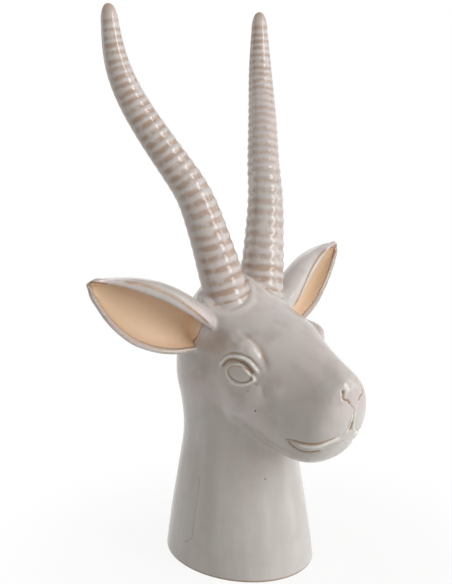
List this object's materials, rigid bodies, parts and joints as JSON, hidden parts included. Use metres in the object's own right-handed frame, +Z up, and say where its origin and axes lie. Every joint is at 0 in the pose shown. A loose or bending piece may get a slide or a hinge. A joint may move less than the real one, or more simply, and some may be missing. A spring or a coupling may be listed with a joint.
{
  "type": "antelope head bust figurine",
  "caption": "Glazed ceramic head and neck of an antelope with tall S-curved ringed horns and cupped ears, standing upright on its flat oval neck",
  "frame": {"origin": "on the surface that the neck stands on, under the middle of the figure's bounding box", "axes": "+Z up along the neck and horns, the animal looks along -Y, X runs from ear to ear and is the mirror direction"},
  "size_m": [0.2189, 0.1572, 0.3621],
  "materials": {
    "glaze": "glossy off-white reactive glaze, brown where it breaks over edges and rings, bare clay inside the ears"
  },
  "bodies": {
    "root": {"antelope_head": "glaze"}
  },
  "joints": []
}
